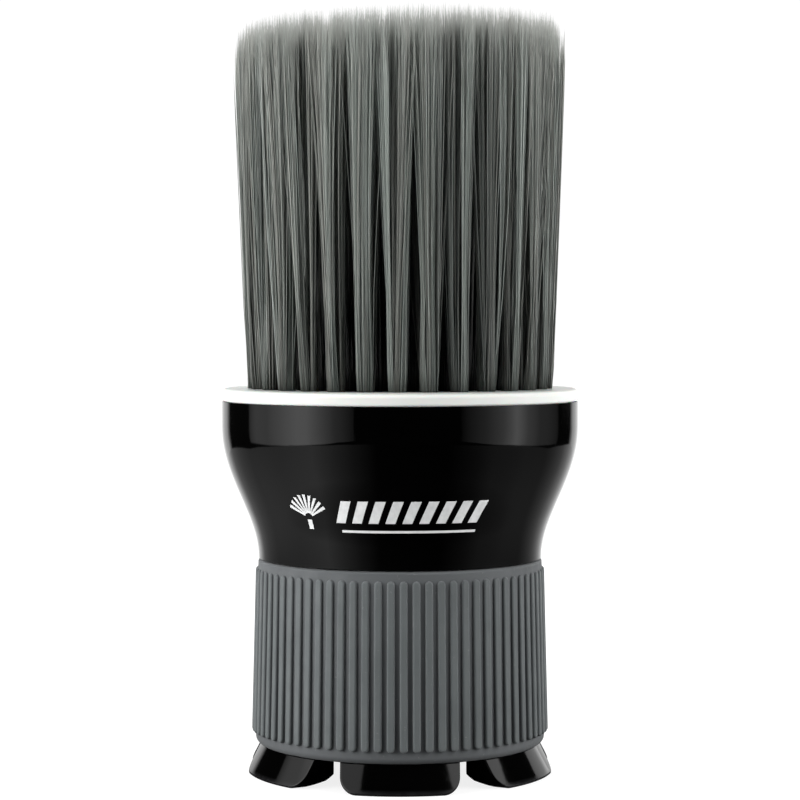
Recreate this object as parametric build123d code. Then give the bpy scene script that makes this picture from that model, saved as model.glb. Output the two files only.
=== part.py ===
from build123d import *
import math
import os

# Round neck duster brush that stands on its own foot crown. Millimetres, +Z up along the
# brush's axis, origin at the centre of the plane of the soles, one foot facing -Y.

# Heights above the plane of the soles
RECESS_Z = 5.1
FOOT_ROOT_Z = 5.5
SLEEVE_BOTTOM_Z = 5.6
CORE_BOTTOM_Z = 7.8
RIB_BOTTOM_Z = 7.9
RIB_TOP_Z = 39.9
SLEEVE_TOP_Z = 41.6
WAIST_Z = 41.9
DECK_BOTTOM_Z = 60.0
DECK_TOP_Z = 62.5
BAND_Z = 67.7
MOUTH_Z = 72.6
PLATE_Z = 75.1
HEAD_TOP_Z = 145.0

# Radii from the brush's axis
MOUTH_R = 35.0
WAIST_R = 27.8
CORE_R = 25.4
CUP_R = 32.2
FLOOR_R = 25.2
SOLE_R = 30.5

# Pull of the body's S-shaped taper above the waist and below the band
WAIST_PULL_Z = 50.5
BAND_PULL_Z = 57.5
HOLLOW_R = 31.0

# Walls and clearances
WALL = 2.2
SLIP = 0.1

# Foot crown: six feet of even width, flared outwards
FEET = 6
FOOT_START = 30.0
FOOT_WIDTH = 22.5
FOOT_CORNER = 3.0
FOOT_ROOT_R = 27.5
FOOT_BACK_R = 23.8
FOOT_EDGE = 0.35
SOLE_DEPTH = 2.7
SOLE_BACK_R = 24.8
SOLE_BACK_Z = 1.2
HEEL_Z = 2.4
GUSSET_THICKNESS = 1.2
GUSSET_ANGLE = 12.0
GUSSET_INNER_R = 12.2
GUSSET_KINK_R = 21.0
GUSSET_FOOT_Z = 2.6
GUSSET_FLOOR_Z = 4.3
HUB_R = 12.8
HUB_WALL = 1.4
HUB_Z = 3.7

# Grip sleeve: plain bands top and bottom, raised ribs between them
RIBS = 74
RIB_WIDTH = 1.5
RIB_ROOT_R = 27.0
RIB_EDGE = 0.4
RIB_TOP_R = 28.4
RIB_BOTTOM_R = 29.2
SLEEVE_TOP_R = 27.9
SLEEVE_BOTTOM_R = 28.45
SLEEVE_TOP_ROUND = 0.5
SLEEVE_BOTTOM_ROUND = 1.2
KEYS = 3
KEY_START = 90.0
KEY_WIDTH = 3.0
KEY_HEIGHT = 0.8
KEY_TOP_Z = 37.5
RIB_START = -88.6

# Bristle plate: rim, block in the body's cup, and a blind hole for each tuft
BLOCK_BOTTOM_Z = 66.5
BLOCK_R = 31.9
RIM_TOP_ROUND = 1.0
RIM_BOTTOM_ROUND = 0.5
HOLE_R = 1.75
HOLE_BOTTOM_Z = 68.1

# Tufts: rings spaced evenly from the centre, six more tufts in each, spreading upwards
RINGS = 5
TUFTS_PER_STEP = 6
RING_STEP_BASE = 5.64
RING_STEP_TOP = 6.0
TUFT_BASE_R = 1.7
TUFT_TOP_R = 2.9
TUFT_TIP_R = 1.6
TUFT_TIP_DEPTH = 3.5
HEAD_DOME = 1.2
TUFT_START = -91.0

# Anchors: flat wire across each tuft's fold, biting into the plate on both sides
ANCHOR_LENGTH = 4.6
ANCHOR_THICKNESS = 0.35
ANCHOR_HEIGHT = 1.6
ANCHOR_Z = 68.9

# Screws: three under the plate and three under the crown
SCREWS = 3
SCREW_R = 1.25
SCREW_HEAD_R = 2.75
SCREW_HEAD_HEIGHT = 1.8
SCREW_HEAD_ROUND = 0.4
SCREW_TIP = 0.8
CROSS_LENGTH = 3.0
CROSS_WIDTH = 0.7
CROSS_DEPTH = 1.0
PILOT_R = 1.3
CLEARANCE_R = 1.7
BOSS_R = 3.5
PLATE_SCREW_PCR = 20.0
PLATE_SCREW_START = 90.0
CROWN_SCREW_PCR = 18.5
CROWN_SCREW_START = 30.0
PLATE_SCREW_LENGTH = 6.0
CROWN_SCREW_LENGTH = 11.0
PILOT_SPARE = 0.6
COUNTERBORE_R = 3.1
COUNTERBORE_DEPTH = 1.2
PILLAR_HEIGHT = 13.0


def disc(radius, bottom, top):
    """Cylinder on the brush's axis between two heights."""
    return around_z(0, 0, radius, bottom, top)


def around_z(x, y, radius, bottom, top):
    """Upright cylinder at a point."""
    return extrude(Plane.XY.offset(bottom) * Pos(x, y) * Circle(radius), top - bottom)


def box(x, y, bottom, width, depth, height):
    """Upright box, centred on a point in plan, standing on a height."""
    return Pos(x, y, bottom + height / 2) * Box(width, depth, height)


def turned(outline):
    """Solid of revolution about +Z from a closed outline of edges in the XZ plane."""
    return revolve(make_face(Plane.XZ * outline), Axis.Z)


def spread(item, count, start=0.0):
    """Copies of a solid at even angles about the brush's axis."""
    return [Rot(0, 0, start + 360 * i / count) * item for i in range(count)]


def polar_points(radius, count, start=0.0):
    """Points at even angles on a circle, the first at the start angle."""
    angles = [math.radians(start + 360 * i / count) for i in range(count)]
    return [(radius * math.cos(a), radius * math.sin(a)) for a in angles]


def bell_curve():
    """S-shaped taper from the waist to the straight upper band."""
    return Bezier(
        (WAIST_R, WAIST_Z), (WAIST_R, WAIST_PULL_Z), (MOUTH_R, BAND_PULL_Z), (MOUTH_R, BAND_Z))


def bell_solid():
    """The body's outer shape, filled: core tube, waist shoulder, taper and upper band."""
    curve = bell_curve()
    lower = Polyline((WAIST_R, WAIST_Z), (CORE_R, WAIST_Z), (CORE_R, CORE_BOTTOM_Z), (0, CORE_BOTTOM_Z))
    upper = Polyline((MOUTH_R, BAND_Z), (MOUTH_R, MOUTH_Z), (0, MOUTH_Z), (0, CORE_BOTTOM_Z))
    return turned(curve + lower + upper)


def bell_hollow():
    """The space under the deck, open at the bottom of the core tube."""
    inner_r = CORE_R - WALL
    start = (inner_r, WAIST_Z + WALL)
    deck = (HOLLOW_R, DECK_BOTTOM_Z)
    curve = Bezier(start, (inner_r + WALL / 2, (WAIST_Z + DECK_BOTTOM_Z) / 2), deck)
    rest = Polyline(deck, (0, DECK_BOTTOM_Z), (0, CORE_BOTTOM_Z), (inner_r, CORE_BOTTOM_Z), start)
    return turned(curve + rest)


def make_body_shell():
    """Bell with a deck under the bristle plate, core tube with keys, and screw pillars."""
    body = bell_solid() - bell_hollow() - disc(CUP_R, DECK_TOP_Z, MOUTH_Z)
    for x, y in polar_points(CROWN_SCREW_PCR, SCREWS, CROWN_SCREW_START):
        top = CORE_BOTTOM_Z + PILLAR_HEIGHT
        body += around_z(x, y, BOSS_R, CORE_BOTTOM_Z, top)
        reach = CORE_R - CROWN_SCREW_PCR - WALL / 2
        angle = math.degrees(math.atan2(y, x))
        web = box(CROWN_SCREW_PCR + reach / 2, 0, CORE_BOTTOM_Z, reach, WALL, PILLAR_HEIGHT)
        body += Rot(0, 0, angle) * web
        pilot_top = crown_bearing_z() + CROWN_SCREW_LENGTH + PILOT_SPARE
        body -= around_z(x, y, PILOT_R, CORE_BOTTOM_Z, pilot_top)
    for x, y in polar_points(PLATE_SCREW_PCR, SCREWS, PLATE_SCREW_START):
        body -= around_z(x, y, CLEARANCE_R, DECK_BOTTOM_Z, DECK_TOP_Z)
    for key in key_bars(KEY_WIDTH, KEY_HEIGHT, CORE_BOTTOM_Z, KEY_TOP_Z):
        body += key
    return body


def key_bars(width, height, bottom, top):
    """Lengthwise bars on the core tube that stop the sleeve turning."""
    depth = height + WALL / 2
    bar = box(CORE_R - WALL / 2 + depth / 2, 0, bottom, depth, width, top - bottom)
    return spread(bar, KEYS, KEY_START)


def rib_section():
    """Half of a rib's cross-section in the XY plane, root inwards, crest outwards along +X."""
    half = RIB_WIDTH / 2
    crest = (RIB_TOP_R + RIB_BOTTOM_R) / 2
    corner = CenterArc((crest - RIB_EDGE, half - RIB_EDGE), RIB_EDGE, 0, 90)
    side = Polyline((crest - RIB_EDGE, half), (RIB_ROOT_R, half), (RIB_ROOT_R, 0), (crest, 0))
    return make_face(corner + side + Line((crest, 0), (crest, half - RIB_EDGE)))


def rib():
    """One raised rib with round ends, pointing along +X and leaning with the sleeve."""
    run = (RIB_TOP_Z - RIB_BOTTOM_Z - RIB_WIDTH) / 2
    half = rib_section()
    bar = extrude(half, run, both=True)
    end = revolve(Pos(0, 0, run) * half, Axis((0, 0, run), (1, 0, 0)), 180)
    piece = bar + mirror(bar, Plane.XZ) + end + mirror(end, Plane.XY)
    lean = math.degrees(math.atan2(RIB_BOTTOM_R - RIB_TOP_R, RIB_TOP_Z - RIB_BOTTOM_Z))
    middle_r = (RIB_TOP_R + RIB_BOTTOM_R) / 2
    middle_z = (RIB_TOP_Z + RIB_BOTTOM_Z) / 2
    return Pos(middle_r, 0, middle_z) * Rot(0, -lean, 0) * Pos(-middle_r, 0, 0) * piece


def make_grip_sleeve():
    """Soft ribbed sleeve over the core tube, with slots for the tube's keys."""
    bore = CORE_R + SLIP
    wall = turned(Polyline(
        (bore, SLEEVE_BOTTOM_Z), (SLEEVE_BOTTOM_R, SLEEVE_BOTTOM_Z), (SLEEVE_TOP_R, SLEEVE_TOP_Z),
        (bore, SLEEVE_TOP_Z), (bore, SLEEVE_BOTTOM_Z)))
    rims = wall.edges().filter_by(GeomType.CIRCLE).sort_by(SortBy.RADIUS)[-2:].sort_by(Axis.Z)
    wall = fillet(rims[0], SLEEVE_BOTTOM_ROUND)
    rims = wall.edges().filter_by(GeomType.CIRCLE).group_by(Axis.Z)[-1].sort_by(SortBy.RADIUS)
    wall = fillet(rims[-1], SLEEVE_TOP_ROUND)
    for slot in key_bars(KEY_WIDTH + 2 * SLIP, KEY_HEIGHT + SLIP, SLEEVE_BOTTOM_Z, KEY_TOP_Z + SLIP):
        wall -= slot
    return wall + spread(rib(), RIBS, RIB_START)


def crown_bearing_z():
    """Height of the face that the crown screws' heads bear on."""
    return RECESS_Z + COUNTERBORE_DEPTH


def foot():
    """One thick flared foot facing +X, standing on its outer edge, with rounded lower corners."""
    block = turned(Polyline(
        (FOOT_BACK_R, FOOT_ROOT_Z), (FOOT_ROOT_R, FOOT_ROOT_Z), (SOLE_R, 0),
        (SOLE_R - SOLE_DEPTH, 0), (SOLE_BACK_R, SOLE_BACK_Z), (FOOT_BACK_R, HEEL_Z),
        (FOOT_BACK_R, FOOT_ROOT_Z)))
    tab = Plane.YZ * Pos(0, FOOT_ROOT_Z) * Rectangle(FOOT_WIDTH, 2 * FOOT_ROOT_Z)
    tab = fillet(tab.vertices(), FOOT_CORNER)
    piece = block & extrude(tab, SOLE_R + SOLE_DEPTH)
    outside = piece.faces().filter_by(GeomType.CONE).sort_by(Axis.X)[-1]
    return fillet([e for e in outside.edges() if e.center().Z < FOOT_ROOT_Z - SLIP], FOOT_EDGE)


def gusset():
    """Radial web from the crown's hub to the back of a foot, pointing along +X."""
    foot_r = FOOT_BACK_R + GUSSET_THICKNESS / 2
    outline = Polyline(
        (GUSSET_INNER_R, RECESS_Z), (foot_r, RECESS_Z), (foot_r, GUSSET_FOOT_Z),
        (GUSSET_KINK_R, GUSSET_FLOOR_Z), (GUSSET_INNER_R, GUSSET_FLOOR_Z),
        (GUSSET_INNER_R, RECESS_Z))
    return extrude(make_face(Plane.XZ * outline), GUSSET_THICKNESS / 2, both=True)


def make_foot_crown():
    """Floor disc inside the sleeve with six flared feet, gussets and a hub ring under it."""
    crown = disc(FLOOR_R, RECESS_Z, CORE_BOTTOM_Z)
    crown += disc(HUB_R, HUB_Z, RECESS_Z) - disc(HUB_R - HUB_WALL, HUB_Z, RECESS_Z)
    crown += spread(foot(), FEET, FOOT_START)
    crown += spread(gusset(), FEET, FOOT_START - GUSSET_ANGLE)
    crown += spread(gusset(), FEET, FOOT_START + GUSSET_ANGLE)
    for x, y in polar_points(CROWN_SCREW_PCR, SCREWS, CROWN_SCREW_START):
        crown -= around_z(x, y, CLEARANCE_R, RECESS_Z, CORE_BOTTOM_Z)
        crown -= around_z(x, y, COUNTERBORE_R, HUB_Z, crown_bearing_z())
    return crown


def on_ring(item, ring):
    """Copies of a solid at a ring's tufts: ring 0 is the centre, even rings turn by half a step."""
    if ring == 0:
        return [item]
    count = TUFTS_PER_STEP * ring
    turn = 180 / count if ring % 2 == 0 else 0
    return spread(item, count, TUFT_START + turn)


def anchor():
    """Flat wire anchor on the brush's axis."""
    return box(0, 0, ANCHOR_Z, ANCHOR_THICKNESS, ANCHOR_LENGTH, ANCHOR_HEIGHT)


def tuft(ring):
    """One tuft of a ring, leaning out along +X: a stem in its hole, then a widening cone."""
    base_x = RING_STEP_BASE * ring
    reach = RING_STEP_TOP * ring - base_x
    height = HEAD_TOP_Z - HEAD_DOME * (ring / RINGS) ** 2 - PLATE_Z
    length = math.hypot(reach, height)
    cone = turned(Polyline(
        (0, 0), (TUFT_BASE_R, 0), (TUFT_TOP_R, length - TUFT_TIP_DEPTH),
        (TUFT_TIP_R, length), (0, length), (0, 0)))
    cone = Pos(base_x, 0, PLATE_Z) * Rot(0, math.degrees(math.atan2(reach, height)), 0) * cone
    stem = around_z(base_x, 0, TUFT_BASE_R, HOLE_BOTTOM_Z + SLIP, PLATE_Z)
    return stem + cone - Pos(base_x, 0, 0) * anchor()


def ring_name(ring):
    """Rings are numbered from the outside in, so 1 is the outer ring."""
    return "centre" if ring == 0 else f"ring_{RINGS + 1 - ring}"


def make_tufts(ring):
    """Every tuft of one ring, each its own solid."""
    return on_ring(tuft(ring), ring)


def make_anchors(ring):
    """Every anchor of one ring, each its own solid."""
    return on_ring(Pos(RING_STEP_BASE * ring, 0, 0) * anchor(), ring)


def make_bristle_plate():
    """Rim and block with a blind hole and anchor bite for every tuft, and screw bosses."""
    rim = disc(MOUTH_R, MOUTH_Z, PLATE_Z)
    edges = rim.edges().filter_by(GeomType.CIRCLE).sort_by(Axis.Z)
    rim = fillet(edges[-1], RIM_TOP_ROUND)
    edges = rim.edges().filter_by(GeomType.CIRCLE).sort_by(Axis.Z)
    rim = fillet(edges[0], RIM_BOTTOM_ROUND)
    plate = rim + disc(BLOCK_R, BLOCK_BOTTOM_Z, MOUTH_Z)
    for x, y in polar_points(PLATE_SCREW_PCR, SCREWS, PLATE_SCREW_START):
        pilot_top = DECK_BOTTOM_Z + PLATE_SCREW_LENGTH + PILOT_SPARE
        plate += around_z(x, y, BOSS_R, DECK_TOP_Z, BLOCK_BOTTOM_Z)
        plate -= around_z(x, y, PILOT_R, DECK_TOP_Z, pilot_top)
    cuts = []
    for ring in range(RINGS + 1):
        well = around_z(RING_STEP_BASE * ring, 0, HOLE_R, HOLE_BOTTOM_Z, PLATE_Z)
        well += Pos(RING_STEP_BASE * ring, 0, 0) * anchor()
        cuts += on_ring(well, ring)
    return plate - cuts


def screw(length):
    """Pan-head self-tapping screw, bearing face at height 0, shank upwards, cross recess below."""
    head = disc(SCREW_HEAD_R, -SCREW_HEAD_HEIGHT, 0)
    rims = head.edges().filter_by(GeomType.CIRCLE).sort_by(Axis.Z)
    head = fillet(rims[0], SCREW_HEAD_ROUND)
    shank = disc(SCREW_R, 0, length - SCREW_TIP)
    tip = Pos(0, 0, length - SCREW_TIP / 2) * Cone(SCREW_R, SCREW_R / 2, SCREW_TIP)
    slots = box(0, 0, -SCREW_HEAD_HEIGHT, CROSS_LENGTH, CROSS_WIDTH, CROSS_DEPTH)
    slots += box(0, 0, -SCREW_HEAD_HEIGHT, CROSS_WIDTH, CROSS_LENGTH, CROSS_DEPTH)
    return head + shank + tip - slots


def make_screws(length, bearing_z, radius, start):
    """Three equal screws on a circle, each its own solid."""
    return [Pos(x, y, bearing_z) * screw(length) for x, y in polar_points(radius, SCREWS, start)]


def write(name, shape):
    """Write one node as a STEP file; a list becomes a group of separate solids."""
    if isinstance(shape, list):
        shape = Compound(children=shape)
    export_step(shape, f"parts/{name}.step")


os.makedirs("parts", exist_ok=True)
write("foot_crown", make_foot_crown())
write("body_shell", make_body_shell())
write("grip_sleeve", make_grip_sleeve())
write("bristle_plate", make_bristle_plate())
for ring in range(RINGS + 1):
    write(f"tuft_{ring_name(ring)}", make_tufts(ring))
    write(f"anchor_{ring_name(ring)}", make_anchors(ring))
write("plate_screws", make_screws(
    PLATE_SCREW_LENGTH, DECK_BOTTOM_Z, PLATE_SCREW_PCR, PLATE_SCREW_START))
write("crown_screws", make_screws(
    CROWN_SCREW_LENGTH, crown_bearing_z(), CROWN_SCREW_PCR, CROWN_SCREW_START))
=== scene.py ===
import math

import bpy
import numpy as np
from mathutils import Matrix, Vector
from mathutils.bvhtree import BVHTree


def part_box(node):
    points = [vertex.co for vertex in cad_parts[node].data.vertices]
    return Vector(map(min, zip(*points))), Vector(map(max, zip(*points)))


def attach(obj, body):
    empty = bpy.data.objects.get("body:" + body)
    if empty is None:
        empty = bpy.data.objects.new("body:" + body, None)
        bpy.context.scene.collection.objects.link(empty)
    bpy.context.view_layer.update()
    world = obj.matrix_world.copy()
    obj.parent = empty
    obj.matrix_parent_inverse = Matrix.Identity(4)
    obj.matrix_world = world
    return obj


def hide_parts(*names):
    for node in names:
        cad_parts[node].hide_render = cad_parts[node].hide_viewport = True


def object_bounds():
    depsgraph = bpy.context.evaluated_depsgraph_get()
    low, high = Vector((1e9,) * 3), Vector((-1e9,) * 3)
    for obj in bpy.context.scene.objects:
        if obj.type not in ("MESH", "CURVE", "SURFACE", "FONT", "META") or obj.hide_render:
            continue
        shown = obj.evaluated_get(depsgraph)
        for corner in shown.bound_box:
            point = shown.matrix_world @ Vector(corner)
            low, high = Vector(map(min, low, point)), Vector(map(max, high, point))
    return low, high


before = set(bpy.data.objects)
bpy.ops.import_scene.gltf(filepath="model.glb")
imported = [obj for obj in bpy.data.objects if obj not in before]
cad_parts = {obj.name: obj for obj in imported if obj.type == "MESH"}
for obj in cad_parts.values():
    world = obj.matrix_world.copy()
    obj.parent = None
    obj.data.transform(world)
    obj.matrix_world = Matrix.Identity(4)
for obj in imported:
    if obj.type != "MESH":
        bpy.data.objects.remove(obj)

# Neck duster brush. Metres, in the frame's own axes: +Z up, the front foot towards -Y, +X right.

CAD_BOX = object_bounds()
MM = 0.001
SEED = 41
rng = np.random.default_rng(SEED)

# ---------------------------------------------------------------- places read from the frame

PLATE_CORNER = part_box("bristle_plate")[1]
PLATE_TOP = PLATE_CORNER.z
MOUTH_R = PLATE_CORNER.x
SLEEVE_LOW, SLEEVE_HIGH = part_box("grip_sleeve")
HEAD_TOP = CAD_BOX[1].z

# ---------------------------------------------------------------- sizes that follow the CAD

GROOVE_LOW_R = 28.42 * MM
GROOVE_HIGH_R = 27.92 * MM
RINGS = 5
TUFTS_PER_STEP = 6
RING_STEP_BASE = 5.64 * MM
RING_STEP_TOP = 6.0 * MM
TUFT_START = math.radians(-91.0)

# ---------------------------------------------------------------- material building blocks

UV_NAME = "OFBake"
RANGE_SOCKETS = ("From Min", "From Max", "To Min", "To Max")
MIX_COLOUR_INPUTS = (0, 6, 7)
MIX_COLOUR_OUTPUT = 2


def srgb(red, green, blue):
    """Linear colour, with alpha, of an 8-bit display colour."""
    def linear(value):
        v = value / 255
        return v / 12.92 if v <= 0.04045 else ((v + 0.055) / 1.055) ** 2.4
    return (linear(red), linear(green), linear(blue), 1.0)


class Recipe:
    """A node material that is filled in step by step."""

    def __init__(self, name):
        self.material = bpy.data.materials.new(name)
        self.material.use_nodes = True
        self.nodes = self.material.node_tree.nodes
        self.links = self.material.node_tree.links
        self.shader = self.nodes["Principled BSDF"]
        self.coords = self.add("ShaderNodeTexCoord").outputs["Object"]

    def add(self, kind, **settings):
        """A new node of one kind, with its own settings."""
        node = self.nodes.new(kind)
        for key, value in settings.items():
            setattr(node, key, value)
        return node

    def join(self, source, target):
        """Links an output to a socket."""
        self.links.new(source, target)

    def set(self, **values):
        """Fixed values on the shader's own sockets; an underscore stands for a space."""
        for key, value in values.items():
            self.shader.inputs[key.replace("_", " ")].default_value = value

    def feed(self, source, socket):
        """Drives one of the shader's sockets."""
        self.join(source, self.shader.inputs[socket])

    def stretch(self, scale):
        """Object coordinates scaled by three factors."""
        node = self.add("ShaderNodeMapping")
        node.inputs["Scale"].default_value = scale
        self.join(self.coords, node.inputs["Vector"])
        return node.outputs["Vector"]

    def noise(self, scale, detail=3.0, rough=0.5, vector=None):
        """Noise at the object's own coordinates, or at another vector."""
        node = self.add("ShaderNodeTexNoise")
        node.inputs["Scale"].default_value = scale
        node.inputs["Detail"].default_value = detail
        node.inputs["Roughness"].default_value = rough
        self.join(vector or self.coords, node.inputs["Vector"])
        return node.outputs["Fac"]

    def ramp(self, source, stops):
        """Colour ramp; stops are (place, colour or grey value)."""
        node = self.add("ShaderNodeValToRGB")
        elements = node.color_ramp.elements
        while len(elements) < len(stops):
            elements.new(0.5)
        for element, (place, colour) in zip(elements, stops):
            element.position = place
            element.color = colour if hasattr(colour, "__len__") else (colour, colour, colour, 1)
        self.join(source, node.inputs["Fac"])
        return node.outputs["Color"]

    def math(self, operation, first, second=0.0):
        """Result of one operation on two numbers or outputs."""
        node = self.add("ShaderNodeMath", operation=operation)
        for socket, value in zip(node.inputs, (first, second)):
            if hasattr(value, "is_linked"):
                self.join(value, socket)
            else:
                socket.default_value = value
        return node.outputs["Value"]

    def span(self, source, low, high, to_low, to_high):
        """Source mapped from one range to another, and held at its ends."""
        node = self.add("ShaderNodeMapRange")
        for name, value in zip(RANGE_SOCKETS, (low, high, to_low, to_high)):
            node.inputs[name].default_value = value
        self.join(source, node.inputs["Value"])
        return node.outputs["Result"]

    def blend(self, amount, first, second, kind="MIX"):
        """First mixed with, multiplied by or added to the second; each is a colour or an output."""
        node = self.add("ShaderNodeMix", data_type="RGBA", blend_type=kind)
        for place, value in zip(MIX_COLOUR_INPUTS, (amount, first, second)):
            if hasattr(value, "is_linked"):
                self.join(value, node.inputs[place])
            else:
                node.inputs[place].default_value = value
        return node.outputs[MIX_COLOUR_OUTPUT]

    def bump(self, height, strength, distance, under=None):
        """Normal pushed about by a height, over an earlier bump if there is one."""
        node = self.add("ShaderNodeBump")
        node.inputs["Strength"].default_value = strength
        node.inputs["Distance"].default_value = distance
        self.join(height, node.inputs["Height"])
        if under is not None:
            self.join(under, node.inputs["Normal"])
        return node.outputs["Normal"]

    def place(self):
        """X, Y and Z of the shaded point in the part's own frame."""
        node = self.add("ShaderNodeSeparateXYZ")
        self.join(self.coords, node.inputs["Vector"])
        return node.outputs["X"], node.outputs["Y"], node.outputs["Z"]

    def radius(self):
        """Distance of the shaded point from the brush's axis."""
        x, y, _ = self.place()
        square = self.math("ADD", self.math("MULTIPLY", x, x), self.math("MULTIPLY", y, y))
        return self.math("SQRT", square)


# ---------------------------------------------------------------- materials


def gloss_black(name, shine, wear_height=None):
    """Black moulded plastic with faint orange peel, haze and hairlines; rubbed up to a height."""
    m = Recipe(name)
    m.set(IOR=1.5, Specular_IOR_Level=shine)
    cloud = m.noise(38, 4)
    colour = m.ramp(cloud, [(0.3, srgb(1, 1, 1)), (0.7, srgb(3, 3, 3))])
    scratch = m.noise(160, 2, 0.6, m.stretch((9, 9, 0.6)))
    haze = m.ramp(m.noise(14, 5), [(0.35, 0.045), (0.75, 0.1)])
    fine = m.ramp(scratch, [(0.66, 0.0), (0.74, 0.1)])
    rough = m.blend(1.0, haze, fine, "ADD")
    if wear_height is not None:
        _, _, z = m.place()
        rub = m.span(z, 0.0, wear_height, 1.0, 0.0)
        rub = m.math("MULTIPLY", rub, m.noise(420, 4, 0.7))
        colour = m.blend(rub, colour, srgb(46, 46, 48))
        rough = m.blend(rub, rough, (0.6, 0.6, 0.6, 1))
    m.feed(colour, "Base Color")
    m.feed(rough, "Roughness")
    peel = m.bump(m.noise(210, 2), 0.05, 0.2 * MM)
    m.feed(m.bump(scratch, 0.02, 0.1 * MM, peel), "Normal")
    return m.material


def grip_rubber():
    """Matte grey rubber: fine moulded grain, paler rubbed rib crests and dust in the grooves."""
    m = Recipe("grip_rubber")
    m.set(Specular_IOR_Level=0.35, Sheen_Weight=0.12, Sheen_Roughness=0.6)
    _, _, z = m.place()
    root = m.span(z, SLEEVE_LOW.z, SLEEVE_HIGH.z, GROOVE_LOW_R, GROOVE_HIGH_R)
    crest = m.math("SUBTRACT", m.radius(), root)
    rubbed = m.span(crest, 0.05 * MM, 0.55 * MM, 0.0, 1.0)
    base = m.ramp(m.noise(55, 5), [(0.3, srgb(78, 81, 83)), (0.7, srgb(85, 88, 90))])
    pale = m.ramp(m.noise(90, 5), [(0.3, srgb(84, 89, 90)), (0.7, srgb(92, 97, 98))])
    colour = m.blend(rubbed, base, pale)
    speck = m.ramp(m.noise(1500, 2, 0.6), [(0.68, 0.0), (0.8, 0.35)])
    m.feed(m.blend(speck, colour, srgb(140, 142, 140)), "Base Color")
    m.feed(m.span(m.noise(300, 4), 0.3, 0.7, 0.55, 0.78), "Roughness")
    grain = m.bump(m.noise(2600, 3, 0.6), 0.35, 0.06 * MM)
    m.feed(m.bump(m.noise(420, 3), 0.15, 0.1 * MM, grain), "Normal")
    return m.material


def white_plate():
    """Satin white plastic, a little translucent, with dust on top, darker round the tufts."""
    m = Recipe("white_plate")
    m.set(Subsurface_Weight=0.15, Subsurface_Scale=1.2 * MM, Specular_IOR_Level=0.1)
    tone = m.ramp(m.noise(60, 4), [(0.3, srgb(221, 224, 220)), (0.7, srgb(229, 231, 228))])
    _, _, z = m.place()
    dust = m.span(z, PLATE_TOP - 0.4 * MM, PLATE_TOP - 0.1 * MM, 0.0, 1.0)
    tone = m.blend(dust, tone, srgb(184, 187, 183))
    # Darker round the tufts: a noisy patch under the tufts that fades out past the outer ring
    darker_round_tufts = m.span(m.radius(), 28.5 * MM, 32.5 * MM, 0.35, 0.0)
    darker_round_tufts = m.math("MULTIPLY", darker_round_tufts, m.noise(240, 5, 0.7))
    m.feed(m.blend(darker_round_tufts, tone, srgb(176, 176, 168)), "Base Color")
    m.feed(m.span(m.noise(120, 4), 0.3, 0.7, 0.3, 0.42), "Roughness")
    m.feed(m.bump(m.noise(900, 3), 0.08, 0.08 * MM), "Normal")
    return m.material


def bristle():
    """Grey synthetic filament: its own tint, painted shade deep in the head and at the strand roots,
    pale at the tip.

    The UV map holds each strand's tint across and the place along the strand upwards.
    """
    m = Recipe("bristle_filament")
    m.set(Specular_IOR_Level=0.5)
    uv = m.add("ShaderNodeUVMap", uv_map=UV_NAME).outputs["UV"]
    split = m.add("ShaderNodeSeparateXYZ")
    m.join(uv, split.inputs["Vector"])
    tint, height = split.outputs["X"], split.outputs["Y"]
    body = m.ramp(tint, [
        (0.0, srgb(94, 99, 96)), (0.3, srgb(119, 125, 121)), (0.48, srgb(136, 137, 131)),
        (0.62, srgb(143, 151, 145)), (0.82, srgb(160, 167, 162)), (1.0, srgb(188, 194, 189))])
    # Painted shade: each strand's colour darkens towards its root at the plate, where the tufts shade
    # one another
    low = m.ramp(height, [(0.0, 0.37), (0.08, 0.6), (0.3, 0.81), (0.6, 0.83), (0.9, 1.0)])
    body = m.blend(1.0, body, low, "MULTIPLY")
    # Painted shade: low in the inner tufts the colour is darkened nearly to black, in place of the
    # shade between tufts; the outer ring and the upper strands keep their colour
    outer = m.span(m.radius(), 24.5 * MM, 28 * MM, 0.0, 1.0)
    high = m.span(height, 0.2, 0.75, 0.0, 1.0)
    clear_of_shade = m.math("MAXIMUM", outer, high)
    painted_deep_shade = m.ramp(clear_of_shade, [(0.0, 0.04), (1.0, 1.0)])
    body = m.blend(1.0, body, painted_deep_shade, "MULTIPLY")
    tip = m.ramp(height, [(0.82, 0.0), (0.94, 0.2), (1.0, 0.55)])
    m.feed(m.blend(tip, body, srgb(206, 207, 202)), "Base Color")
    m.feed(m.span(m.noise(700, 2), 0.3, 0.7, 0.36, 0.52), "Roughness")
    m.feed(m.bump(m.noise(5200, 2), 0.2, 0.02 * MM), "Normal")
    return m.material


def metal(name, first, second, rough):
    """Drawn or turned metal with fine streaks and slight tarnish."""
    m = Recipe(name)
    m.set(Metallic=1.0)
    streak = m.noise(900, 3, 0.6, m.stretch((1, 1, 12)))
    m.feed(m.ramp(m.noise(260, 4), [(0.3, first), (0.7, second)]), "Base Color")
    m.feed(m.span(streak, 0.3, 0.7, rough, rough + 0.16), "Roughness")
    m.feed(m.bump(streak, 0.1, 0.03 * MM), "Normal")
    return m.material


def white_ink():
    """Pad-printed white ink with slightly uneven cover."""
    m = Recipe("white_ink")
    m.set(Specular_IOR_Level=0.3)
    tone = m.ramp(m.noise(700, 4), [(0.3, srgb(226, 228, 228)), (0.7, srgb(246, 247, 247))])
    m.feed(tone, "Base Color")
    m.feed(m.span(m.noise(1200, 3), 0.3, 0.7, 0.4, 0.55), "Roughness")
    m.feed(m.bump(m.noise(2500, 2), 0.1, 0.03 * MM), "Normal")
    return m.material


def dress(node, material):
    """Puts a material on a CAD node."""
    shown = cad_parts[node]
    shown.data.materials.clear()
    shown.data.materials.append(material)


# ---------------------------------------------------------------- bristle filaments

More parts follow.
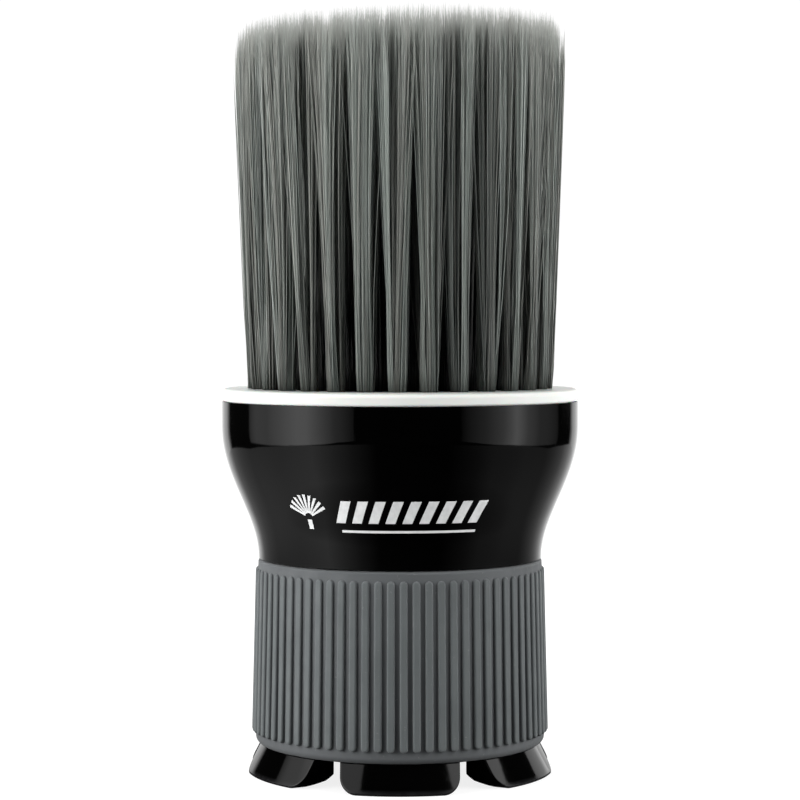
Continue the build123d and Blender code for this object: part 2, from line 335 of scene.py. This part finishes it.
# A strand's own shape: places along it, its slimness at each, and its place in the UV map
SIDES = 3
LEVELS = np.array([0.0, 0.08, 0.28, 0.5, 0.72, 0.9, 1.0])
SLIMNESS = np.array([1.0, 1.0, 1.0, 1.0, 0.96, 0.84, 0.3])
TINTS = 64
COLUMN_HALF = 0.35 / TINTS
ROOT_DEPTH = 1.6 * MM

# Strands in each tuft of a ring, and their radius, by ring from the centre outwards
STRANDS = [150, 150, 150, 160, 210, 300]
STRAND_R = [0.105 * MM, 0.105 * MM, 0.105 * MM, 0.1 * MM, 0.09 * MM, 0.075 * MM]
OUTER_PIECES = 3

GOLDEN_ANGLE = math.pi * (3 - math.sqrt(5))

# How a tuft widens, and how its strands gather into locks, bend and stray
TUFT_BASE_R = 1.56 * MM
TUFT_GROWTH = 1.52 * MM
TUFT_DRIFT = 0.3 * MM
LOCKS = 12
LOCK_SPREAD = 0.82
LOCK_PULL = 0.9 * MM
LOCK_BOW = 0.4 * MM
STRAND_DRIFT = 0.22 * MM
STRAND_RATE = 1.7
STRAY_SHARE = 0.11
STRAY_FACTOR = 7.0
STRAY_RATE = 1.0
LOCK_TINT = 0.12
STRAND_TINT = 0.06

# The head's outline: past these radii a strand keeps only a share of how far it would stray
HEAD_BASE_R = 30.1 * MM
HEAD_TOP_R = 31.8 * MM
HEAD_GIVE = 0.22

# The head's top: how far tips rise, how unequal their cut is, its lean, and its fall at the edge
TIP_RISE = 2.9 * MM
TIP_CUT = 3.0 * MM
HEAD_EDGE_R = 30.0 * MM
HEAD_DOME = 0.3 * MM
HEAD_LEAN = 0.7 * MM
CORNER_DROP = 4.0 * MM
CORNER_WIDTH = 1.6 * MM
CORNER_LIMIT = 1.2
CORNER_SCATTER = (0.15, 1.6)


class Filaments:
    """Collects the strands of several tufts into one mesh of slim closed tapers."""

    def __init__(self):
        self.verts, self.quads, self.tris, self.uv_quads, self.uv_tris = [], [], [], [], []
        self.total = 0

    def add(self, line, radius, tint):
        """Adds strands from their centrelines (strands, levels, 3), radius and tints from 0 to 1."""
        count, levels, _ = line.shape
        turn = rng.uniform(0, 2 * math.pi, count)
        angles = turn[:, None] + np.arange(SIDES)[None, :] * 2 * math.pi / SIDES
        around = np.stack([np.cos(angles), np.sin(angles), np.zeros_like(angles)], -1)
        thick = radius * SLIMNESS[None, :-1, None, None]
        rings = line[:, :-1, None, :] + thick * around[:, None, :, :]
        body = rings.reshape(count, -1, 3)
        strand = np.concatenate([body, line[:, -1:, :]], 1)
        size = strand.shape[1]
        start = self.total + np.arange(count)[:, None] * size
        rows = levels - 1
        column = (np.floor(tint * TINTS) + 0.5) / TINTS
        for low in range(rows - 1):
            for side in range(SIDES):
                after = (side + 1) % SIDES
                corners = [low * SIDES + side, low * SIDES + after,
                           (low + 1) * SIDES + after, (low + 1) * SIDES + side]
                self.quads.append(start + np.array(corners)[None, :])
                v0, v1 = LEVELS[low], LEVELS[low + 1]
                self.uv_quads.append(uv_block(column, [(-1, v0), (1, v0), (1, v1), (-1, v1)]))
        top = (rows - 1) * SIDES
        for side in range(SIDES):
            corners = [top + side, top + (side + 1) % SIDES, size - 1]
            self.tris.append(start + np.array(corners)[None, :])
            self.uv_tris.append(uv_block(column, [(-1, LEVELS[-2]), (1, LEVELS[-2]), (0, 1.0)]))
        self.tris.append(start + np.array([2, 1, 0])[None, :])
        self.uv_tris.append(uv_block(column, [(-1, 0.0), (1, 0.0), (0, 0.01)]))
        self.verts.append(strand.reshape(-1, 3))
        self.total += count * size

    def build(self, name, material):
        """The finished mesh object, with its strands' UV columns."""
        verts = np.concatenate(self.verts)
        quads = np.concatenate(self.quads)
        tris = np.concatenate(self.tris)
        loops = np.concatenate([quads.ravel(), tris.ravel()])
        sizes = np.concatenate([np.full(len(quads), 4), np.full(len(tris), 3)])
        starts = np.concatenate([[0], np.cumsum(sizes)[:-1]])
        uv = np.concatenate([np.concatenate(self.uv_quads).reshape(-1, 2),
                             np.concatenate(self.uv_tris).reshape(-1, 2)])
        mesh = bpy.data.meshes.new(name)
        mesh.vertices.add(len(verts))
        mesh.vertices.foreach_set("co", verts.astype(np.float32).ravel())
        mesh.loops.add(len(loops))
        mesh.loops.foreach_set("vertex_index", loops.astype(np.int32))
        mesh.polygons.add(len(sizes))
        mesh.polygons.foreach_set("loop_start", starts.astype(np.int32))
        layer = mesh.uv_layers.new(name=UV_NAME)
        layer.uv.foreach_set("vector", uv.astype(np.float32).ravel())
        mesh.update(calc_edges=True)
        mesh.validate()
        mesh.shade_smooth()
        mesh.materials.append(material)
        piece = bpy.data.objects.new(name, mesh)
        bpy.context.scene.collection.objects.link(piece)
        return piece


def uv_block(column, corners):
    """UV corners for one face of every strand: each strand keeps to its tint's column."""
    out = np.empty((len(column), len(corners), 2))
    for i, (side, height) in enumerate(corners):
        out[:, i, 0] = column + side * COLUMN_HALF
        out[:, i, 1] = height
    return out


def disc_points(count):
    """Points that fill a unit disc evenly, with a little jitter, shape (count, 2)."""
    i = np.arange(count) + 0.5
    r = np.sqrt(i / count) + rng.normal(0, 0.03, count)
    a = i * GOLDEN_ANGLE + rng.normal(0, 0.2, count)
    return np.stack([r * np.cos(a), r * np.sin(a)], -1)


def tip_heights(spots):
    """Heights of the tips: lower at the head's edge and to the left, each cut a little differently."""
    reach = np.linalg.norm(spots, axis=-1)
    dome = HEAD_DOME * (reach / HEAD_EDGE_R) ** 2
    corner = CORNER_DROP * np.clip((reach - HEAD_EDGE_R) / CORNER_WIDTH, 0, CORNER_LIMIT) ** 2
    corner = corner * rng.uniform(*CORNER_SCATTER, len(spots))
    lean = HEAD_LEAN * spots[:, 0] / HEAD_EDGE_R
    cut = TIP_CUT * rng.random(len(spots)) ** 0.8
    return HEAD_TOP + TIP_RISE - dome - corner + lean - cut


def tuft_lines(ring, angle, count):
    """Centrelines and tints of one tuft's strands, which part into locks as they rise."""
    out = np.array([math.cos(angle), math.sin(angle)])
    base = out * RING_STEP_BASE * ring
    top = out * RING_STEP_TOP * ring + rng.normal(0, TUFT_DRIFT, 2)
    spot = disc_points(count)
    seeds = disc_points(LOCKS) * LOCK_SPREAD
    lock = np.argmin(((spot[:, None, :] - seeds[None, :, :]) ** 2).sum(-1), 1)
    within = spot - seeds[lock]
    pull = rng.normal(0, LOCK_PULL, (LOCKS, 2))[lock]
    bow = rng.normal(0, LOCK_BOW, (LOCKS, 2))[lock]
    own = rng.normal(0, STRAND_DRIFT, (count, 2))
    stray = rng.random(count) < STRAY_SHARE
    own[stray] *= STRAY_FACTOR
    rate = np.where(stray, STRAY_RATE, STRAND_RATE)[:, None, None]
    t = LEVELS[None, :, None]
    middle = base + (top - base) * t
    width = TUFT_BASE_R + TUFT_GROWTH * t ** 0.7
    # Locks draw together over the first third of their height and loosen again above it
    tight = 1.0 - 0.55 * np.clip(t / 0.3, 0, 1) + 0.75 * np.clip((t - 0.35) / 0.6, 0, 1)
    flat = middle + seeds[lock][:, None, :] * width + within[:, None, :] * width * tight
    flat = flat + pull[:, None, :] * t ** 1.2 + bow[:, None, :] * np.sin(math.pi * t)
    flat = flat + own[:, None, :] * t ** rate
    # What passes the head's outline is drawn in
    reach = np.linalg.norm(flat, axis=-1, keepdims=True)
    edge = HEAD_BASE_R + (HEAD_TOP_R - HEAD_BASE_R) * t
    flat = flat * np.minimum(1.0, (edge + (reach - edge) * HEAD_GIVE) / reach)
    low = PLATE_TOP - ROOT_DEPTH
    tip = tip_heights(flat[:, -1, :])
    z = low + (tip[:, None] - low) * LEVELS[None, :]
    tint = rng.normal(0.5, LOCK_TINT, LOCKS)[lock] + rng.normal(0, STRAND_TINT, count)
    return np.concatenate([flat, z[:, :, None]], -1), np.clip(tint, 0, 0.999)


def ring_angles(ring):
    """Angles of a ring's tufts; even rings are turned by half a step."""
    count = max(1, TUFTS_PER_STEP * ring)
    turn = 0.5 if ring % 2 == 0 else 0.0
    return [TUFT_START + 2 * math.pi * (i + turn) / count for i in range(count)]


def make_bristles(material):
    """One piece per ring of tufts; the outer ring is in a few pieces."""
    for ring in range(RINGS, -1, -1):
        node = "tuft_centre" if ring == 0 else f"tuft_ring_{RINGS + 1 - ring}"
        angles = ring_angles(ring)
        parts = OUTER_PIECES if ring == RINGS else 1
        size = len(angles) // parts
        for part in range(parts):
            cloud = Filaments()
            for angle in angles[part * size:(part + 1) * size]:
                line, tint = tuft_lines(ring, angle, STRANDS[ring])
                cloud.add(line, STRAND_R[ring], tint)
            name = node.replace("tuft_", "bristles_") + (f"_{part + 1}" if parts > 1 else "")
            piece = cloud.build(name, material)
            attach(piece, "root")
            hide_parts(node)


# ---------------------------------------------------------------- print on the body

PRINT_PROUD = 0.03 * MM
PRINT_DEPTH = 0.06 * MM

# From here to the stage, places on the body are in millimetres: across from the front, and up
PRINT_R = 31.0
PRINT_CELL = 0.5
FAN_STROKES = 9
FAN_HUB = Vector((-18.4, 51.6))
FAN_ANGLE = 62
FAN_REACH = (0.9, 4.4)
FAN_HALF_WIDTHS = (0.14, 0.3)
HANDLE_Z = (49.4, 51.2)
HANDLE_HALF_WIDTH = 0.5
BARS = 9
BAR_STEP = 3.25
BAR_Z = (50.8, 55.0)
BAR_LEAN = 1.6
BAR_HALF_WIDTH = 0.95
LINE_X = (-11.6, 15.4)
LINE_Z = 49.2
LINE_HALF_WIDTH = 0.22


def on_body(tree, across, height):
    """Point just proud of the body, at a distance around it from the front (mm) and a height (mm)."""
    angle = across / PRINT_R
    out = Vector((math.sin(angle), -math.cos(angle), 0))
    start = out * 2 * MOUTH_R + Vector((0, 0, height * MM))
    return tree.ray_cast(start, -out)[0] + out * PRINT_PROUD


def strip(verts, faces, tree, low, high, half_low, half_high):
    """Adds a strip from one point to another with its half widths; steep strips end level."""
    low, high = Vector(low), Vector(high)
    side = (high - low).orthogonal().normalized()
    if abs(high.x - low.x) < abs(high.y - low.y):
        side = Vector((1, 0))
    rows = max(2, int((high - low).length / PRINT_CELL) + 1)
    columns = max(2, int(2 * max(half_low, half_high) / PRINT_CELL) + 2)
    start = len(verts)
    for i in range(rows):
        k = i / (rows - 1)
        middle = low.lerp(high, k)
        half = half_low + (half_high - half_low) * k
        for j in range(columns):
            spot = middle + side * half * (2 * j / (columns - 1) - 1)
            verts.append(on_body(tree, spot.x, spot.y))
    for i in range(rows - 1):
        for j in range(columns - 1):
            a = start + i * columns + j
            faces.append((a, a + 1, a + columns + 1, a + columns))


def printed(name, strips, material):
    """A piece of thin ink from strips laid on the body."""
    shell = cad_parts["body_shell"]
    tree = BVHTree.FromObject(shell, bpy.context.evaluated_depsgraph_get())
    verts, faces = [], []
    for each in strips:
        strip(verts, faces, tree, *each)
    mesh = bpy.data.meshes.new(name)
    mesh.from_pydata([tuple(v) for v in verts], [], faces)
    mesh.update()
    mesh.materials.append(material)
    piece = bpy.data.objects.new(name, mesh)
    bpy.context.scene.collection.objects.link(piece)
    ink = piece.modifiers.new("ink", "SOLIDIFY")
    ink.thickness = PRINT_DEPTH
    ink.offset = 0
    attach(piece, "root")


def make_print():
    """Plain decoration: a little fan of strokes beside a row of slanted bars over a fine line."""
    ink = white_ink()
    foot, top = ((FAN_HUB.x, z) for z in HANDLE_Z)
    fan = [(foot, top, HANDLE_HALF_WIDTH, HANDLE_HALF_WIDTH)]
    for i in range(FAN_STROKES):
        angle = math.radians(FAN_ANGLE * (2 * i / (FAN_STROKES - 1) - 1))
        way = Vector((math.sin(angle), math.cos(angle)))
        inner, outer = (FAN_HUB + way * reach for reach in FAN_REACH)
        fan.append((inner, outer, *FAN_HALF_WIDTHS))
    printed("print_fan", fan, ink)
    bars = []
    for i in range(BARS):
        x = LINE_X[0] + BAR_STEP * i
        bars.append(((x, BAR_Z[0]), (x + BAR_LEAN, BAR_Z[1]), BAR_HALF_WIDTH, BAR_HALF_WIDTH))
    left, right = ((x, LINE_Z) for x in LINE_X)
    bars.append((left, right, LINE_HALF_WIDTH, LINE_HALF_WIDTH))
    printed("print_bars", bars, ink)


# ---------------------------------------------------------------- stage

# The floor, by azimuth from -Y towards +X: how far it reaches, and how bright shiny parts see it
FLOOR_SIDES = 96
FLOOR_REACH = [
    (-180, 0.45), (-141, 0.43), (-110, 0.31), (108, 0.31), (120, 0.376), (128, 0.42), (141, 0.52),
    (180, 0.45)]
FLOOR_PROFILE = [
    (-180, 0.55), (-149, 0.5), (-138, 0.24), (-125, 0.22), (-110, 0.26), (-80, 0.6), (-55, 1.05),
    (-42, 0.62), (-28, 0.22), (-14, 0.0), (30, 0.0), (48, 0.12), (60, 0.26), (84, 0.25), (105, 0.13),
    (125, 0.22), (138, 0.34), (150, 0.48), (180, 0.55)]

# Spans, each from two places to the brightness at them. The floor's places are radii, and the
# backdrop's say how far behind the brush it is, 1 being straight behind. Shiny parts see the
# mirrored brightness, and the camera sees the other.
FLOOR_SEEN = (0.05, 0.25, 0.84, 1.0)
FLOOR_MIRRORED = (0.055, 0.1, 0.0, 2.4)
BACKDROP_MIRRORED = (0.78, 0.85, 0.01, 1.4)
BACKDROP_SEEN = 1.05

# Soft boxes: azimuths of the ends, heights of the edges, radiance, brightness across, distance
LEFT_PROFILE = [
    (0.0, 0.07), (0.12, 0.22), (0.27, 0.3), (0.39, 0.56), (0.53, 0.97), (0.6, 1.0),
    (0.71, 0.6), (0.81, 0.29), (1.0, 0.06)]
RIGHT_PROFILE = [
    (0.0, 0.02), (0.14, 0.07), (0.3, 0.15), (0.42, 0.4), (0.52, 1.0), (0.62, 0.53),
    (0.77, 0.24), (1.0, 0.02)]
REAR_PROFILE = [(0.0, 1.0), (0.6, 0.92), (1.0, 0.75)]
EVEN_PROFILE = [(0.0, 1.0), (1.0, 1.0)]
BOX_DISTANCE = 0.38
REAR_DISTANCE = 1.0
SOFTBOXES = {
    "softbox_left": ((-109, -28), (-0.015, 0.3), 8.0, LEFT_PROFILE, BOX_DISTANCE),
    "softbox_right": ((118.5, 37.5), (-0.015, 0.12), 6.3, RIGHT_PROFILE, BOX_DISTANCE),
    "softbox_left_high": ((-97, -34), (0.3, 0.72), 2.5, EVEN_PROFILE, BOX_DISTANCE),
    "softbox_right_high": ((92, 44), (0.12, 0.72), 4.6, EVEN_PROFILE, BOX_DISTANCE),
    "softbox_right_rear": ((125.5, 148), (0.045, 0.4), 1.65, REAR_PROFILE, REAR_DISTANCE)}
OVERHEAD_PLACE = (-0.3, 0.3, 0.85)
OVERHEAD_SIZE = 0.7
OVERHEAD_RADIANCE = 2.1

# Camera
SENSOR_WIDTH = 36.0
LENS = 110.0
EYE = Vector((0.0, -0.481, 0.0894))
AIM = Vector((0.0, 0.0, 72.7 * MM))


def aimed(name, light, place, way):
    """Hangs an area light at a place, shining one way, out of the camera's sight."""
    lamp = bpy.data.objects.new(name, light)
    lamp.location = place
    lamp.rotation_mode = "QUATERNION"
    lamp.rotation_quaternion = way.to_track_quat("-Z", "Y")
    lamp.visible_camera = False
    bpy.context.scene.collection.objects.link(lamp)


def softbox(name, azimuths, heights, radiance, profile, distance):
    """Upright soft light facing the brush, spanning two azimuths counted from -Y towards +X.

    The profile is its brightness across the width, from the first azimuth to the second.
    """
    first, last = (math.radians(a) for a in azimuths)
    bottom, top = heights
    middle = (first + last) / 2
    out = Vector((math.sin(middle), -math.cos(middle), 0))
    width = 2 * distance * math.tan(abs(last - first) / 2)
    light = bpy.data.lights.new(name, "AREA")
    light.shape = "RECTANGLE"
    light.size, light.size_y = width, top - bottom
    light.energy = radiance * math.pi * width * (top - bottom)
    if last < first:
        profile = [(1 - place, level) for place, level in reversed(profile)]
    shade_across(light, profile)
    aimed(name, light, out * distance + Vector((0, 0, (top + bottom) / 2)), -out)


def shade_across(light, profile):
    """Gives an area light a brightness that changes across its width."""
    light.use_nodes = True
    nodes, links = light.node_tree.nodes, light.node_tree.links
    geometry = nodes.new("ShaderNodeNewGeometry")
    split = nodes.new("ShaderNodeSeparateXYZ")
    ramp = nodes.new("ShaderNodeValToRGB")
    elements = ramp.color_ramp.elements
    while len(elements) < len(profile):
        elements.new(0.5)
    for element, (place, value) in zip(elements, profile):
        element.position = place
        element.color = (value, value, value, 1)
    links.new(geometry.outputs["Parametric"], split.inputs["Vector"])
    links.new(split.outputs["X"], ramp.inputs["Fac"])
    links.new(ramp.outputs["Color"], nodes["Emission"].inputs["Strength"])


def overhead(name):
    """Square soft light overhead, pointing at the middle of the brush."""
    light = bpy.data.lights.new(name, "AREA")
    light.shape = "SQUARE"
    light.size = OVERHEAD_SIZE
    light.energy = OVERHEAD_RADIANCE * math.pi * OVERHEAD_SIZE ** 2
    place = Vector(OVERHEAD_PLACE)
    aimed(name, light, place, AIM - place)


def make_surround():
    """White backdrop as seen; as a light it is white only behind the brush and dark elsewhere."""
    world = bpy.data.worlds.new("surround")
    bpy.context.scene.world = world
    world.use_nodes = True
    nodes, links = world.node_tree.nodes, world.node_tree.links
    background = nodes["Background"]
    coords = nodes.new("ShaderNodeTexCoord")
    flat = nodes.new("ShaderNodeVectorMath")
    flat.operation = "MULTIPLY"
    flat.inputs[1].default_value = (1, 1, 0)
    unit = nodes.new("ShaderNodeVectorMath")
    unit.operation = "NORMALIZE"
    split = nodes.new("ShaderNodeSeparateXYZ")
    behind = nodes.new("ShaderNodeMapRange")
    path = nodes.new("ShaderNodeLightPath")
    level = nodes.new("ShaderNodeMix")
    links.new(coords.outputs["Generated"], flat.inputs[0])
    links.new(flat.outputs["Vector"], unit.inputs[0])
    links.new(unit.outputs["Vector"], split.inputs["Vector"])
    links.new(split.outputs["Y"], behind.inputs["Value"])
    for name, value in zip(RANGE_SOCKETS, BACKDROP_MIRRORED):
        behind.inputs[name].default_value = value
    links.new(path.outputs["Is Camera Ray"], level.inputs["Factor"])
    links.new(behind.outputs["Result"], level.inputs["A"])
    level.inputs["B"].default_value = BACKDROP_SEEN
    links.new(level.outputs["Result"], background.inputs["Strength"])
    background.inputs["Color"].default_value = (1, 1, 1, 1)


def floor_paper():
    """Glowing white paper: as seen, it shows only the shadows next to the feet.

    The brush's shiny parts see it dark in front, and brighter to the left, right and behind.
    """
    m = Recipe("floor_paper")
    m.set(Specular_IOR_Level=0.05, Roughness=0.9)
    path = m.add("ShaderNodeLightPath").outputs
    seen, mirrored = path["Is Camera Ray"], path["Is Glossy Ray"]
    paper = m.ramp(m.noise(5, 3), [(0.3, 0.21), (0.7, 0.23)])
    m.feed(m.blend(mirrored, paper, (0, 0, 0, 1)), "Base Color")
    x, y, _ = m.place()
    turn = m.math("ARCTAN2", x, m.math("MULTIPLY", y, -1.0))
    around = m.ramp(m.span(turn, -math.pi, math.pi, 0.0, 1.0),
                    [((azimuth + 180) / 360, level) for azimuth, level in FLOOR_PROFILE])
    glow = m.span(m.radius(), *FLOOR_SEEN)
    outward = m.span(m.radius(), *FLOOR_MIRRORED)
    shine = m.math("MULTIPLY", m.math("MULTIPLY", around, outward), mirrored)
    m.set(Emission_Color=(1, 1, 1, 1))
    m.feed(m.blend(seen, shine, glow), "Emission Strength")
    m.material.cycles.emission_sampling = "NONE"
    return m.material


def make_floor():
    """Flat floor, reaching further behind the brush than in front of it."""
    verts = []
    for i in range(FLOOR_SIDES):
        azimuth = -180 + 360 * i / FLOOR_SIDES
        reach = np.interp(azimuth, *zip(*FLOOR_REACH))
        turn = math.radians(azimuth)
        verts.append((reach * math.sin(turn), -reach * math.cos(turn), 0.0))
    mesh = bpy.data.meshes.new("floor")
    mesh.from_pydata(verts, [], [tuple(range(FLOOR_SIDES))])
    mesh.materials.append(floor_paper())
    floor = bpy.data.objects.new("floor", mesh)
    bpy.context.scene.collection.objects.link(floor)


def make_stage():
    """White floor and surround, and soft lights left, right, behind and above."""
    make_floor()
    make_surround()
    for name, settings in SOFTBOXES.items():
        softbox(name, *settings)
    overhead("softbox_top")


def make_camera():
    """Half a metre in front of the brush, a little above the plate, looking slightly down."""
    data = bpy.data.cameras.new("camera")
    data.sensor_width = SENSOR_WIDTH
    data.lens = LENS
    camera = bpy.data.objects.new("camera", data)
    camera.location = EYE
    camera.rotation_mode = "QUATERNION"
    camera.rotation_quaternion = (AIM - EYE).to_track_quat("-Z", "Y")
    bpy.context.scene.collection.objects.link(camera)
    bpy.context.scene.camera = camera


# ---------------------------------------------------------------- the brush

make_camera()
make_stage()

dress("body_shell", gloss_black("black_body", 0.1))
dress("foot_crown", gloss_black("black_crown", 0.15, wear_height=1.2 * MM))
dress("grip_sleeve", grip_rubber())
dress("bristle_plate", white_plate())
brass = metal("anchor_brass", srgb(200, 172, 104), srgb(176, 146, 84), 0.3)
steel = metal("screw_steel", srgb(176, 177, 178), srgb(150, 151, 153), 0.28)
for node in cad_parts:
    if node.startswith("anchor_"):
        dress(node, brass)
    if node.endswith("_screws"):
        dress(node, steel)

make_bristles(bristle())
make_print()

scene = bpy.context.scene
scene.view_settings.view_transform = "Standard"
